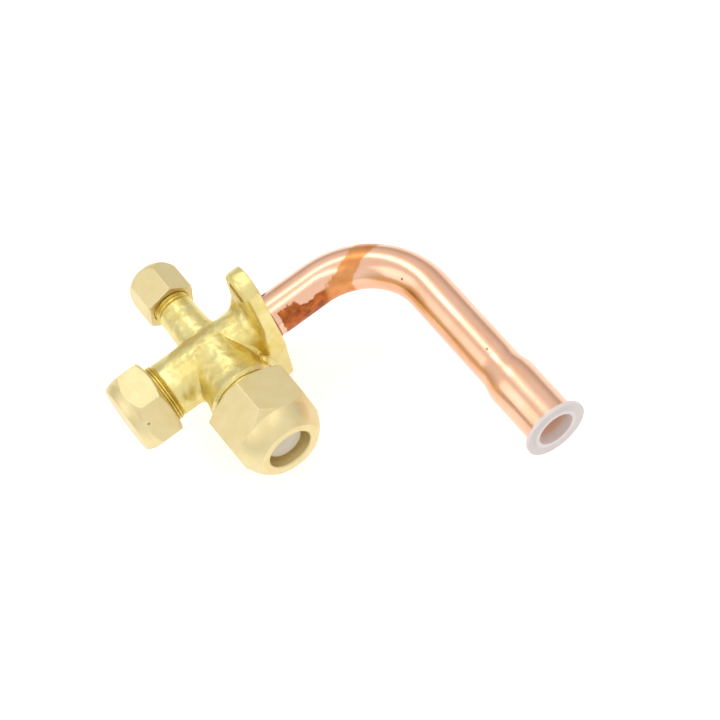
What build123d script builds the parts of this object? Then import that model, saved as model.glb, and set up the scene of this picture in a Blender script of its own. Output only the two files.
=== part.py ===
"""Three-way refrigerant service valve for a half-inch gas line, with its copper tube brazed in.

Millimetres. The origin is the centre of the bolt line on the back face of the mounting flange,
on the stem axis. +X runs along the stem axis towards the copper tube, so the stem cap is at -X.
-Y is the flare connection and the tube's second leg, +Y is the service port, and the two bolt
ears of the flange stand along +Z and -Z.
"""
from build123d import *
import os
from math import cos, radians, sin, sqrt, tan

# ---- copper tube ----------------------------------------------------------------------------
TUBE_OD = 12.7
TUBE_WALL = 0.9
TUBE_STRAIGHT = 17.0        # back face of the flange to the start of the bend
BEND_RADIUS = 23.2
LEG_LENGTH = 34.0           # end of the bend to the start of the swage
SWAGE_TAPER = 4.0
SWAGE_DEPTH = 18.8          # parallel part of the belled end
SWAGE_FIT = 0.06            # radial room for the next tube in the belled end
BRAZE_GAP = 0.05            # radial room for the braze in the body's socket
BRAZE_HEIGHT = 1.1          # how far the braze climbs the tube from the flange

# ---- transport plug in the belled end -------------------------------------------------------
PLUG_FLANGE_D = 18.7
PLUG_FLANGE_T = 1.0
PLUG_WALL = 0.9
PLUG_DEPTH = 12.0
PLUG_FIT = 0.04

# ---- forged body: barrel along X -------------------------------------------------------------
BARREL_D = 16.5
BARREL_END = 33.7           # flange back face to the shoulder behind the cap thread
SPIGOT_D = 17.2             # cap thread, major diameter
SPIGOT_LENGTH = 10.7
SPIGOT_RELIEF_D = 16.0      # groove between the barrel and the cap thread
SPIGOT_RELIEF = 0.3
SPIGOT_CHAMFER = 0.6
TUBE_SOCKET = 6.4           # depth of the socket that the tube is brazed into
SOCKET_CHAMFER = 1.1        # of the socket's mouth, filled by the braze
FORGING_FILLET = 2.4        # where the branches leave the barrel

# ---- mounting flange -------------------------------------------------------------------------
FLANGE_T = 4.8
BOLT_SPACING = 40.0
BOLT_HOLE_D = 6.5
EAR_R = 5.9
FLANGE_EDGE_R = 1.4         # front rim
FLANGE_BACK_R = 0.4         # back rim
FLANGE_HUB_OUT = 1.3        # how far the hub stands out beyond the barrel
FLANGE_COVE = 3.6           # radius of the hollow between barrel and ears

# ---- flare connection ------------------------------------------------------------------------
BRANCH_X = 18.1             # flange back face to the axis of flare and service port
FLARE_BOSS_D = 21.0
FLARE_BOSS_ROOT_D = 13.6    # on the stem axis
FLARE_BOSS_END = 16.2       # stem axis to the shoulder behind the flare thread
FLARE_BOSS_EDGE = 1.0       # height of the shoulder's turned-down edge
FLARE_BOSS_EDGE_IN = 0.6    # and how far in it comes
FLARE_THREAD_D = 19.05      # 3/4-16 UNF
FLARE_THREAD_END = 30.4     # stem axis to the root of the flare cone
FLARE_THREAD_CHAMFER = 1.0  # length of the thread's turned-down end
FLARE_CONE_D = 16.4
FLARE_FACE_D = 10.4
FLARE_BORE_D = 9.4

# ---- flare nut and the plastic bonnet clamped under it ---------------------------------------
NUT_HEX = 25.0
NUT_BACK = 18.6             # stem axis to the back face of the nut
NUT_SHOULDER = 30.4         # stem axis to where the corners are turned down
NUT_CORNER_DROP = 1.3       # height over which they come down to the flats
NUT_NOSE = 38.4             # stem axis to the nose face
NUT_NOSE_D = 18.4
NUT_NOSE_EDGE = 0.5
NUT_BULGE = 0.7             # how far the nose swells beyond a straight cone
NUT_BORE_D = 13.0
NUT_BORE_CHAMFER = 0.35
NUT_THREAD_FIT = 0.08       # radial
NUT_BACK_CHAMFER = 1.9
NUT_HEX_TURN = 6.5          # degrees that a corner leans from +Z towards -X
BONNET_T = 1.0              # wall on the flare cone, square to it
BONNET_FIT = 0.06
BONNET_MARGIN = 0.2         # edge of the flare cone back to the edge of the skirt
BONNET_STUB_FIT = 0.15      # radial, inside the nut's bore
BONNET_RECESS = 1.6         # nose face back to the bonnet's face

# ---- service port and its cap ----------------------------------------------------------------
PORT_D = 11.1               # 7/16-20 UNF
PORT_ROOT_D = 12.6          # on the stem axis
PORT_ROOT_END = 16.6        # stem axis to where the forged taper meets the thread
PORT_END = 32.4             # stem axis to the mouth of the port
PORT_FACE_D = 7.8
PORT_BORE_D = 4.2
PORT_HEX = 14.0
PORT_CAP_RIM = 21.9         # stem axis to the open rim of the cap
PORT_CAP_TOP_T = 2.0
PORT_CAP_FIT = 0.1
PORT_CAP_DOME = 4.8         # height of the rounded end
PORT_CAP_FLAT_D = 3.4
PORT_HEX_TURN = 12.0        # degrees that a corner leans from +Z towards +X
PORT_SEAL_T = 1.0
PORT_SEAL_FIT = 0.3

# ---- access core (a check valve) in the service port -----------------------------------------
CORE_D = 5.2
CORE_FIT = 0.05
CORE_RECESS = 2.6           # mouth of the port to the top of the core
CORE_BODY_LENGTH = 5.0
CORE_SLOT = 1.4
CORE_SEAL_D = 4.6
CORE_SEAL_LENGTH = 1.8
CORE_NOSE_D = 3.4
CORE_NOSE_LENGTH = 7.5
CORE_BORE_D = 2.2
CORE_LEDGE = 0.9            # thickness of the floor that the spring stands on
PIN_D = 1.0
PIN_FIT = 0.06
PIN_RECESS = 0.8            # mouth of the port to the tip of the pin
PIN_COLLAR_D = 1.9
PIN_COLLAR_T = 0.6
PIN_COLLAR_DEPTH = 1.5      # top of the core to the top of the collar
CORE_CUP_D = 3.2
CORE_CUP_T = 1.0
CORE_CUP_SEAL_D = 2.9
CORE_CUP_SEAL_T = 0.7
SPRING_WIRE = 0.28
SPRING_TURNS = 6
SPRING_FIT = 0.08

# ---- stem, its seals and its ring ------------------------------------------------------------
STEM_BORE_D = 11.0
STEM_FIT = 0.05
STEM_RECESS = 2.4           # end of the spigot to the outer face of the stem
STEM_HEAD_LENGTH = 11.0
STEM_NECK_D = 6.6
STEM_CONE_D = 9.6
STEM_CONE_TIP_D = 7.0
STEM_CONE_LENGTH = 3.0
STEM_TRAVEL = 8.8           # from the open position down to the seat
STEM_SHUT_GAP = 0.2         # what is left along the axis when the cone is down
STEM_SOCKET = 5.0           # hexagon key
STEM_SOCKET_DEPTH = 5.0
SEAT_D = 8.2                # bore whose edge the cone closes
CHAMBER_D = 12.4
CHAMBER_LENGTH = 13.0
O_RING_WIRE = 1.5
O_RING_FIT = 0.04
O_RING_FIRST = 3.4          # inner end of the stem's head to the first ring
O_RING_SPACING = 3.4
SNAP_RING_T = 0.8
SNAP_RING_DEPTH = 0.5
SNAP_RING_WIDTH = 1.2
SNAP_RING_GAP = 50.0        # degrees
SNAP_RING_FIT = 0.03
SNAP_RING_OFFSET = 1.2      # end of the spigot to the ring

# ---- stem cap --------------------------------------------------------------------------------
CAP_HEX = 20.0
CAP_RIM = 36.5              # flange back face to the open rim
CAP_TOP_T = 2.8
CAP_THREAD_FIT = 0.08
CAP_RIM_CHAMFER = 0.9
CAP_END_ROUND = 1.7         # how far the closed end's corners are turned down
CAP_END_ROUND_HEIGHT = 3.0
CAP_END_BULGE = 0.25        # how far that rounding swells beyond a straight cone
CAP_HEX_TURN = 31.0         # degrees that a corner leans from +Z towards -Y
GASKET_T = 1.0
GASKET_FIT = 0.3
GASKET_HOLE_D = 12.4

# ---- places that follow from the sizes above -------------------------------------------------
SPIGOT_END = BARREL_END + SPIGOT_LENGTH
FLANGE_HUB_D = BARREL_D + 2 * FLANGE_HUB_OUT
SOCKET_D = TUBE_OD + 2 * BRAZE_GAP
SOCKET_MOUTH_D = SOCKET_D + 2 * SOCKET_CHAMFER
CAP_END = SPIGOT_END + GASKET_T + CAP_TOP_T
SEAT_X = BRANCH_X - CHAMBER_LENGTH / 2
CHAMBER_END = BRANCH_X + CHAMBER_LENGTH / 2
STEM_FACE = SPIGOT_END - STEM_RECESS
STEM_HEAD_END = STEM_FACE - STEM_HEAD_LENGTH
STEM_CONTACT = STEM_CONE_LENGTH * (SEAT_D - STEM_CONE_TIP_D) / (STEM_CONE_D - STEM_CONE_TIP_D)
STEM_TIP = SEAT_X - STEM_CONTACT + STEM_SHUT_GAP + STEM_TRAVEL
O_RING_R = STEM_BORE_D / 2 - O_RING_FIT - O_RING_WIRE / 2
FLARE_FACE = FLARE_THREAD_END + (FLARE_CONE_D - FLARE_FACE_D) / 2
BONNET_SHIFT = BONNET_T * sqrt(2)
BONNET_FACE = NUT_NOSE - BONNET_RECESS
PORT_CAP_END = PORT_END + PORT_SEAL_T + PORT_CAP_TOP_T
CORE_TOP = PORT_END - CORE_RECESS
CORE_SHOULDER = CORE_TOP - CORE_BODY_LENGTH
CORE_NOSE_END = CORE_SHOULDER - CORE_NOSE_LENGTH
CORE_CUP_END = CORE_NOSE_END - CORE_CUP_SEAL_T - CORE_CUP_T
PIN_COLLAR_TOP = CORE_TOP - PIN_COLLAR_DEPTH
SWAGE_ID = TUBE_OD + 2 * SWAGE_FIT
SWAGE_OD = SWAGE_ID + 2 * TUBE_WALL
LEG_X = TUBE_STRAIGHT + BEND_RADIUS
LEG_END = BEND_RADIUS + LEG_LENGTH + SWAGE_TAPER + SWAGE_DEPTH

NEARLY_ZERO = 0.001

# Each frame's z axis is the axis that its pieces are turned about.
STEM_SIDE = Plane(origin=(0, 0, 0), x_dir=(0, 0, 1), z_dir=(-1, 0, 0))
FLARE_SIDE = Plane(origin=(-BRANCH_X, 0, 0), x_dir=(0, 0, 1), z_dir=(0, -1, 0))
PORT_SIDE = Plane(origin=(-BRANCH_X, 0, 0), x_dir=(0, 0, 1), z_dir=(0, 1, 0))
LEG_SIDE = Plane(origin=(LEG_X, 0, 0), x_dir=(0, 0, 1), z_dir=(0, -1, 0))
TUBE_SIDE = Plane(origin=(0, 0, 0), x_dir=(0, 0, 1), z_dir=(1, 0, 0))


def profile(points):
    """The face inside a closed line through (radius, height) points."""
    return make_face(Polyline([(r, 0, h) for r, h in points], close=True))


def turned(points, side):
    """A solid of revolution about the side's axis."""
    return side * revolve(profile(points), Axis.Z)


def rod(diameter, start, end, side):
    """A round bar on the side's axis, between two heights."""
    return side * Pos(0, 0, start) * Cylinder(
        diameter / 2, end - start, align=(Align.CENTER, Align.CENTER, Align.MIN))


def tube_between(outer_d, inner_d, start, end, side):
    return rod(outer_d, start, end, side) - rod(inner_d, start, end, side)


def hexagon(across_flats, start, end, turn, side):
    """A hexagon bar with one corner at `turn` degrees from +Z."""
    bar = extrude(RegularPolygon(across_flats / sqrt(3), 6, rotation=turn), end - start)
    return side * Pos(0, 0, start) * bar


# ---- the forged body -------------------------------------------------------------------------

def flange_foot():
    """The core of the flange, widening from the barrel to the ears in a hollow curve."""
    barrel_r = BARREL_D / 2
    top = FLANGE_T + FLANGE_COVE
    foot = Polyline((barrel_r, 0, top), (0, 0, top), (0, 0, 0), (barrel_r + FLANGE_COVE, 0, 0),
                    (barrel_r + FLANGE_COVE, 0, FLANGE_T))
    inset = FLANGE_COVE * (1 - sin(radians(45)))
    cove = ThreePointArc((barrel_r + FLANGE_COVE, 0, FLANGE_T), (barrel_r + inset, 0, FLANGE_T + inset),
                         (barrel_r, 0, top))
    return revolve(make_face(foot + cove), Axis.Z)


def flange_plate():
    """Two ears joined to a round hub by tangent sides; the front rim is rounded."""
    outline = Circle(FLANGE_HUB_D / 2)
    outline += Pos(BOLT_SPACING / 2, 0) * Circle(EAR_R)
    outline += Pos(-BOLT_SPACING / 2, 0) * Circle(EAR_R)
    outline = make_hull(outline.edges())
    plate = extrude(outline, FLANGE_T) + (flange_foot() & extrude(outline, FLANGE_T + FLANGE_COVE))
    sides = [face for face in plate.faces() if abs(face.normal_at().Z) < NEARLY_ZERO]
    rim = [edge for face in sides for edge in face.edges() if edge.center().Z > FLANGE_T - NEARLY_ZERO]
    plate = fillet(rim, FLANGE_EDGE_R)
    plate = fillet(plate.edges().group_by(Axis.Z)[0], FLANGE_BACK_R)
    for side in (1, -1):
        plate -= Pos(side * BOLT_SPACING / 2, 0, FLANGE_T / 2) * Cylinder(BOLT_HOLE_D / 2, FLANGE_T)
    return STEM_SIDE * plate


def barrel():
    """The forged barrel with the turned spigot that takes the stem cap."""
    return turned([
        (0, 0), (BARREL_D / 2, 0), (BARREL_D / 2, BARREL_END),
        (SPIGOT_RELIEF_D / 2, BARREL_END), (SPIGOT_RELIEF_D / 2, BARREL_END + SPIGOT_RELIEF),
        (SPIGOT_D / 2, BARREL_END + SPIGOT_RELIEF + (SPIGOT_D - SPIGOT_RELIEF_D) / 2),
        (SPIGOT_D / 2, SPIGOT_END - SPIGOT_CHAMFER), (SPIGOT_D / 2 - SPIGOT_CHAMFER, SPIGOT_END),
        (0, SPIGOT_END)], STEM_SIDE)


def flare_boss():
    """The tapered root of the flare connection."""
    return turned([
        (0, 0), (FLARE_BOSS_ROOT_D / 2, 0),
        (FLARE_BOSS_D / 2, FLARE_BOSS_END - FLARE_BOSS_EDGE),
        (FLARE_BOSS_D / 2 - FLARE_BOSS_EDGE_IN, FLARE_BOSS_END), (0, FLARE_BOSS_END)], FLARE_SIDE)


def flare_neck():
    """The flare thread and the 45 degree cone that a flared pipe is clamped on."""
    return turned([
        (0, 0), (FLARE_THREAD_D / 2, 0), (FLARE_THREAD_D / 2, FLARE_THREAD_END - FLARE_THREAD_CHAMFER),
        (FLARE_CONE_D / 2, FLARE_THREAD_END), (FLARE_FACE_D / 2, FLARE_FACE), (0, FLARE_FACE)],
        FLARE_SIDE)


def port_neck():
    """The 7/16 inch thread of the service port, ending in a flare cone."""
    face_r = PORT_FACE_D / 2
    return turned([
        (0, 0), (PORT_D / 2, 0), (PORT_D / 2, PORT_END - (PORT_D / 2 - face_r)),
        (face_r, PORT_END), (0, PORT_END)], PORT_SIDE)


def port_bore():
    """The stepped bore that the access core screws into, open to the chamber."""
    thread_end = CORE_SHOULDER
    seal_end = thread_end - CORE_SEAL_LENGTH
    return (rod(CORE_D + 2 * CORE_FIT, thread_end, PORT_END, PORT_SIDE)
            + rod(CORE_SEAL_D + 2 * CORE_FIT, seal_end, thread_end, PORT_SIDE)
            + rod(PORT_BORE_D, 0, seal_end, PORT_SIDE))


def stem_bore():
    """The stepped bore along the stem axis: spigot, chamber, seat and tube socket."""
    ring_d = STEM_BORE_D + 2 * SNAP_RING_DEPTH
    ring_x = SPIGOT_END - SNAP_RING_OFFSET
    return (rod(STEM_BORE_D, CHAMBER_END, SPIGOT_END, STEM_SIDE)
            + rod(CHAMBER_D, SEAT_X, CHAMBER_END, STEM_SIDE)
            + rod(SEAT_D, 0, SEAT_X, STEM_SIDE)
            + rod(SOCKET_D, 0, TUBE_SOCKET, STEM_SIDE)
            + turned([(0, 0), (SOCKET_MOUTH_D / 2, 0), (SOCKET_D / 2, SOCKET_CHAMFER),
                      (0, SOCKET_CHAMFER)], STEM_SIDE)
            + rod(ring_d, ring_x - SNAP_RING_T - SNAP_RING_FIT, ring_x + SNAP_RING_FIT, STEM_SIDE))


def port_root():
    """The forged root of the service port, down to the thread."""
    root_r = PORT_ROOT_D / 2
    neck_r = PORT_D / 2
    return turned([
        (0, 0), (root_r, 0), (neck_r, PORT_ROOT_END),
        (0, PORT_ROOT_END)], PORT_SIDE)


def valve_body():
    """The forging, blended where its branches leave the barrel, then turned and bored."""
    forging = barrel() + flare_boss() + port_root()
    seams = [edge for edge in forging.edges() if edge.geom_type not in (GeomType.CIRCLE, GeomType.LINE)]
    forging = fillet(seams, FORGING_FILLET)
    forging += flange_plate()
    forging += flare_neck() + port_neck()
    forging -= stem_bore()
    forging -= rod(FLARE_BORE_D, 0, FLARE_FACE, FLARE_SIDE)
    forging -= port_bore()
    return forging


# ---- stem and its seals ----------------------------------------------------------------------

def stem():
    """Head with a hexagon socket and two ring grooves, a thinner neck, and the seating cone."""
    head_r = STEM_BORE_D / 2 - STEM_FIT
    neck_r = STEM_NECK_D / 2
    spindle = turned([
        (0, STEM_TIP), (STEM_CONE_TIP_D / 2, STEM_TIP), (STEM_CONE_D / 2, STEM_TIP + STEM_CONE_LENGTH),
        (neck_r, STEM_TIP + STEM_CONE_LENGTH), (neck_r, STEM_HEAD_END), (head_r, STEM_HEAD_END),
        (head_r, STEM_FACE), (0, STEM_FACE)], STEM_SIDE)
    groove_r = O_RING_R - O_RING_WIRE / 2 - O_RING_FIT
    for centre in o_ring_places():
        low = centre - O_RING_WIRE / 2 - O_RING_FIT
        high = centre + O_RING_WIRE / 2 + O_RING_FIT
        spindle -= tube_between(STEM_BORE_D, 2 * groove_r, low, high, STEM_SIDE)
    return spindle - hexagon(STEM_SOCKET, STEM_FACE - STEM_SOCKET_DEPTH, STEM_FACE, 0, STEM_SIDE)


def o_ring_places():
    first = STEM_HEAD_END + O_RING_FIRST
    return first, first + O_RING_SPACING


def stem_inner_o_ring():
    return STEM_SIDE * Pos(0, 0, o_ring_places()[0]) * Torus(O_RING_R, O_RING_WIRE / 2)


def stem_outer_o_ring():
    return STEM_SIDE * Pos(0, 0, o_ring_places()[1]) * Torus(O_RING_R, O_RING_WIRE / 2)


def snap_ring():
    """The open ring in the mouth of the bore that keeps the stem in."""
    outer = STEM_BORE_D + 2 * SNAP_RING_DEPTH - 2 * SNAP_RING_FIT
    high = SPIGOT_END - SNAP_RING_OFFSET
    ring = tube_between(outer, outer - 2 * SNAP_RING_WIDTH, high - SNAP_RING_T, high, STEM_SIDE)
    reach = outer
    half = radians(SNAP_RING_GAP / 2)
    wedge = extrude(make_face(Polyline(
        (0, 0), (reach * cos(half), reach * sin(half)), (reach * cos(half), -reach * sin(half)),
        close=True)), SNAP_RING_T)
    return ring - STEM_SIDE * Pos(0, 0, high - SNAP_RING_T) * wedge


# ---- stem cap --------------------------------------------------------------------------------

def stem_cap():
    """A hexagon cap, its rim corners chamfered and its closed end rounded off."""
    corner = CAP_HEX / sqrt(3)
    drop = CAP_RIM_CHAMFER * tan(radians(30))
    round_start = CAP_END - CAP_END_ROUND_HEIGHT
    top_r = corner - CAP_END_ROUND
    sides = Polyline(
        (top_r, 0, CAP_END), (0, 0, CAP_END), (0, 0, CAP_RIM),
        (corner - CAP_RIM_CHAMFER, 0, CAP_RIM), (corner, 0, CAP_RIM + drop), (corner, 0, round_start))
    swell = ThreePointArc(
        (corner, 0, round_start),
        (corner - CAP_END_ROUND / 2 + CAP_END_BULGE, 0, CAP_END - CAP_END_ROUND_HEIGHT / 2 + CAP_END_BULGE),
        (top_r, 0, CAP_END))
    blank = STEM_SIDE * revolve(make_face(sides + swell), Axis.Z)
    cap = blank & hexagon(CAP_HEX, CAP_RIM, CAP_END, CAP_HEX_TURN, STEM_SIDE)
    return cap - rod(SPIGOT_D + 2 * CAP_THREAD_FIT, CAP_RIM, CAP_END - CAP_TOP_T, STEM_SIDE)


def stem_cap_gasket():
    outer = SPIGOT_D + 2 * CAP_THREAD_FIT - 2 * GASKET_FIT
    return tube_between(outer, GASKET_HOLE_D, SPIGOT_END, SPIGOT_END + GASKET_T, STEM_SIDE)


# ---- flare nut and bonnet --------------------------------------------------------------------

def cone_height(radius, shift):
    """Height on the flare cone at a radius, for a surface shifted outwards along the axis."""
    return FLARE_THREAD_END + FLARE_CONE_D / 2 - radius + shift


def flare_nut():
    """Hexagon nut with a swelling nose; inside, a thread bore, a 45 degree seat and the pipe bore."""
    corner = NUT_HEX / sqrt(3)
    nose_r = NUT_NOSE_D / 2
    dome_start = NUT_SHOULDER + NUT_CORNER_DROP
    dome_end = NUT_NOSE - NUT_NOSE_EDGE
    middle_r = (NUT_HEX / 2 + nose_r) / 2 + NUT_BULGE
    middle_h = (dome_start + dome_end) / 2 + NUT_BULGE
    back_drop = NUT_BACK_CHAMFER * tan(radians(30))
    corners = [(0, NUT_BACK), (corner - NUT_BACK_CHAMFER, NUT_BACK), (corner, NUT_BACK + back_drop),
               (corner, NUT_SHOULDER), (NUT_HEX / 2, dome_start)]
    sides = Polyline([(r, 0, h) for r, h in corners])
    swell = ThreePointArc((NUT_HEX / 2, 0, dome_start), (middle_r, 0, middle_h), (nose_r, 0, dome_end))
    face = Polyline((nose_r, 0, dome_end), (nose_r - NUT_NOSE_EDGE, 0, NUT_NOSE),
                    (0, 0, NUT_NOSE), (0, 0, NUT_BACK))
    blank = FLARE_SIDE * revolve(make_face(sides + swell + face), Axis.Z)
    nut = blank & hexagon(NUT_HEX, NUT_BACK, NUT_NOSE, NUT_HEX_TURN, FLARE_SIDE)
    thread_r = FLARE_THREAD_D / 2 + NUT_THREAD_FIT
    bore_r = NUT_BORE_D / 2
    shift = BONNET_SHIFT + 2 * BONNET_FIT * sqrt(2)
    return nut - turned([
        (0, NUT_BACK), (thread_r, NUT_BACK), (thread_r, cone_height(thread_r, shift)),
        (bore_r, cone_height(bore_r, shift)), (bore_r, NUT_NOSE - NUT_BORE_CHAMFER),
        (bore_r + NUT_BORE_CHAMFER, NUT_NOSE), (0, NUT_NOSE)], FLARE_SIDE)


def flare_bonnet():
    """Plastic bonnet: a skirt on the flare cone and a hollow stub that fills the nut's bore."""
    stub_r = NUT_BORE_D / 2 - BONNET_STUB_FIT
    skirt_r = FLARE_CONE_D / 2 - BONNET_MARGIN
    hole_r = FLARE_FACE_D / 2
    inner = BONNET_FIT * sqrt(2)
    outer = inner + BONNET_SHIFT
    return turned([
        (0, BONNET_FACE), (stub_r, BONNET_FACE), (stub_r, cone_height(stub_r, outer)),
        (skirt_r, cone_height(skirt_r, outer)), (skirt_r, cone_height(skirt_r, inner)),
        (hole_r, cone_height(hole_r, inner)), (hole_r, BONNET_FACE - BONNET_T),
        (0, BONNET_FACE - BONNET_T)], FLARE_SIDE)


# ---- service port cap, seal and access core --------------------------------------------------

def port_cap():
    """A small hexagon cap with a domed closed end."""
    corner = PORT_HEX / sqrt(3)
    flat = PORT_CAP_FLAT_D / 2
    dome_start = PORT_CAP_END - PORT_CAP_DOME
    middle_r = flat + (corner - flat) * sin(radians(45))
    middle_h = dome_start + PORT_CAP_DOME * sin(radians(45))
    sides = Polyline((flat, 0, PORT_CAP_END), (0, 0, PORT_CAP_END), (0, 0, PORT_CAP_RIM),
                     (corner, 0, PORT_CAP_RIM), (corner, 0, dome_start))
    dome = ThreePointArc((corner, 0, dome_start), (middle_r, 0, middle_h), (flat, 0, PORT_CAP_END))
    blank = PORT_SIDE * revolve(make_face(sides + dome), Axis.Z)
    cap = blank & hexagon(PORT_HEX, PORT_CAP_RIM, PORT_CAP_END, PORT_HEX_TURN, PORT_SIDE)
    return cap - rod(PORT_D + 2 * PORT_CAP_FIT, PORT_CAP_RIM, PORT_CAP_END - PORT_CAP_TOP_T, PORT_SIDE)


def port_cap_seal():
    return rod(PORT_D + 2 * PORT_CAP_FIT - 2 * PORT_SEAL_FIT, PORT_END, PORT_END + PORT_SEAL_T, PORT_SIDE)


def core_body():
    """Threaded shell of the access core, its key slot across the top and a thin nose below."""
    shell = rod(CORE_D, CORE_SHOULDER, CORE_TOP, PORT_SIDE)
    shell += rod(CORE_NOSE_D, CORE_NOSE_END, CORE_SHOULDER, PORT_SIDE)
    shell -= rod(CORE_BORE_D, CORE_NOSE_END + CORE_LEDGE, CORE_TOP, PORT_SIDE)
    shell -= rod(PIN_D + 2 * PIN_FIT, CORE_NOSE_END, CORE_TOP, PORT_SIDE)
    slot = Box(CORE_SLOT, CORE_D + CORE_SLOT, CORE_SLOT, align=(Align.CENTER, Align.CENTER, Align.MAX))
    return shell - PORT_SIDE * Pos(0, 0, CORE_TOP) * slot


def core_seal():
    return tube_between(CORE_SEAL_D, CORE_NOSE_D, CORE_SHOULDER - CORE_SEAL_LENGTH, CORE_SHOULDER, PORT_SIDE)


def core_pin():
    """The pin that a gauge hose presses down, with the collar that its spring pushes on."""
    pin = rod(PIN_D, CORE_CUP_END, PORT_END - PIN_RECESS, PORT_SIDE)
    return pin + rod(PIN_COLLAR_D, PIN_COLLAR_TOP - PIN_COLLAR_T, PIN_COLLAR_TOP, PORT_SIDE)


def core_cup():
    return tube_between(CORE_CUP_D, PIN_D, CORE_CUP_END, CORE_CUP_END + CORE_CUP_T, PORT_SIDE)


def core_cup_seal():
    return tube_between(CORE_CUP_SEAL_D, PIN_D, CORE_NOSE_END - CORE_CUP_SEAL_T, CORE_NOSE_END, PORT_SIDE)


def core_spring():
    """Coil spring between the floor of the core and the pin's collar."""
    low = CORE_NOSE_END + CORE_LEDGE + SPRING_WIRE / 2
    high = PIN_COLLAR_TOP - PIN_COLLAR_T - SPRING_WIRE / 2
    coil_r = CORE_BORE_D / 2 - SPRING_FIT - SPRING_WIRE / 2
    path = Helix(pitch=(high - low) / SPRING_TURNS, height=high - low, radius=coil_r)
    wire = sweep(Plane(path @ 0, z_dir=path % 0) * Circle(SPRING_WIRE / 2), path=path)
    return PORT_SIDE * Pos(0, 0, low) * wire


# ---- copper tube, braze and plug -------------------------------------------------------------

def bent_bar(diameter):
    """The tube's route from the body's socket, round the bend, to the start of the swage."""
    route = Line((-TUBE_SOCKET, 0, 0), (TUBE_STRAIGHT, 0, 0))
    route += RadiusArc((TUBE_STRAIGHT, 0, 0), (LEG_X, -BEND_RADIUS, 0), BEND_RADIUS)
    route += Line((LEG_X, -BEND_RADIUS, 0), (LEG_X, -BEND_RADIUS - LEG_LENGTH, 0))
    start = Plane(origin=(-TUBE_SOCKET, 0, 0), x_dir=(0, 0, 1), z_dir=(1, 0, 0))
    return sweep(start * Circle(diameter / 2), path=Wire(route.edges()))


def belled_bar(leg_d, bell_d):
    """The solid of revolution that widens from the leg to the belled end."""
    swage_start = BEND_RADIUS + LEG_LENGTH
    return turned([
        (0, swage_start), (leg_d / 2, swage_start), (bell_d / 2, swage_start + SWAGE_TAPER),
        (bell_d / 2, LEG_END), (0, LEG_END)], LEG_SIDE)


def copper_tube():
    bore = TUBE_OD - 2 * TUBE_WALL
    outside = bent_bar(TUBE_OD) + belled_bar(TUBE_OD, SWAGE_OD)
    return outside - bent_bar(bore) - belled_bar(bore, SWAGE_ID)


def braze_fillet():
    """Braze metal that fills the chamfered mouth of the socket and climbs the tube in a hollow curve."""
    tube_r = TUBE_OD / 2
    mouth_r = SOCKET_MOUTH_D / 2
    bed = Polyline((tube_r, 0, BRAZE_HEIGHT), (tube_r, 0, -SOCKET_CHAMFER),
                   (SOCKET_D / 2, 0, -SOCKET_CHAMFER), (mouth_r, 0, 0))
    inset = 1 - sin(radians(45))
    hollow = ThreePointArc(
        (mouth_r, 0, 0), (tube_r + inset * (mouth_r - tube_r), 0, inset * BRAZE_HEIGHT),
        (tube_r, 0, BRAZE_HEIGHT))
    return TUBE_SIDE * revolve(make_face(bed + hollow), Axis.Z)


def tube_plug():
    """A thin flanged cup pushed into the belled end to keep dirt out."""
    cup_r = SWAGE_ID / 2 - PLUG_FIT
    return turned([
        (0, LEG_END - PLUG_DEPTH), (cup_r, LEG_END - PLUG_DEPTH), (cup_r, LEG_END),
        (PLUG_FLANGE_D / 2, LEG_END), (PLUG_FLANGE_D / 2, LEG_END + PLUG_FLANGE_T),
        (cup_r - PLUG_WALL, LEG_END + PLUG_FLANGE_T), (cup_r - PLUG_WALL, LEG_END - PLUG_DEPTH + PLUG_WALL),
        (0, LEG_END - PLUG_DEPTH + PLUG_WALL)], LEG_SIDE)


PIECES = [
    valve_body, stem, stem_inner_o_ring, stem_outer_o_ring, snap_ring, stem_cap, stem_cap_gasket,
    flare_nut, flare_bonnet, port_cap, port_cap_seal, core_body, core_seal, core_pin, core_spring,
    core_cup, core_cup_seal, copper_tube, braze_fillet, tube_plug,
]

os.makedirs("parts", exist_ok=True)
for piece in PIECES:
    export_step(piece(), f"parts/{piece.__name__}.step")
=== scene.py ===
from math import pi, radians, sin, sqrt, tan

import bpy
from mathutils import Matrix, Vector


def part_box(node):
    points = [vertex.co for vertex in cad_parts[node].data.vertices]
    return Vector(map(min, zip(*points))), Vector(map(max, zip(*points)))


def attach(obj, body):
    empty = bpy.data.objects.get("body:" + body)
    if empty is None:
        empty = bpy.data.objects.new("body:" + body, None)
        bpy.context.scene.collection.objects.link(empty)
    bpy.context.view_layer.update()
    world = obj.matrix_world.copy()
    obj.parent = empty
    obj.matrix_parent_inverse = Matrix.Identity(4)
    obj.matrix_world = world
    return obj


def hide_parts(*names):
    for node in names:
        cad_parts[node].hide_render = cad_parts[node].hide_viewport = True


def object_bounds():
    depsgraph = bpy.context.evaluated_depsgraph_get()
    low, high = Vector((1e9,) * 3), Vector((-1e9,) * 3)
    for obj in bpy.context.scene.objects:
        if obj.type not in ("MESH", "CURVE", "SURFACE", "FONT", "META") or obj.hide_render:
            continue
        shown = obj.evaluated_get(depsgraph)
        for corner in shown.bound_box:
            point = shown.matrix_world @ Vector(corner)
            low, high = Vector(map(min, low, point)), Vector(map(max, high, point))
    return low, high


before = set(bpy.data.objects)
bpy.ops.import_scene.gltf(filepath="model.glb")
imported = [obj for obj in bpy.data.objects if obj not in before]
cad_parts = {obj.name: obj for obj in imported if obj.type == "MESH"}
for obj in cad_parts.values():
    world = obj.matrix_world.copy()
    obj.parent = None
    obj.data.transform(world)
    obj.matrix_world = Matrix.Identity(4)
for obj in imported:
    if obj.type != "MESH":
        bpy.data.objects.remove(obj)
cad_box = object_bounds()
MM = 0.001


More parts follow.
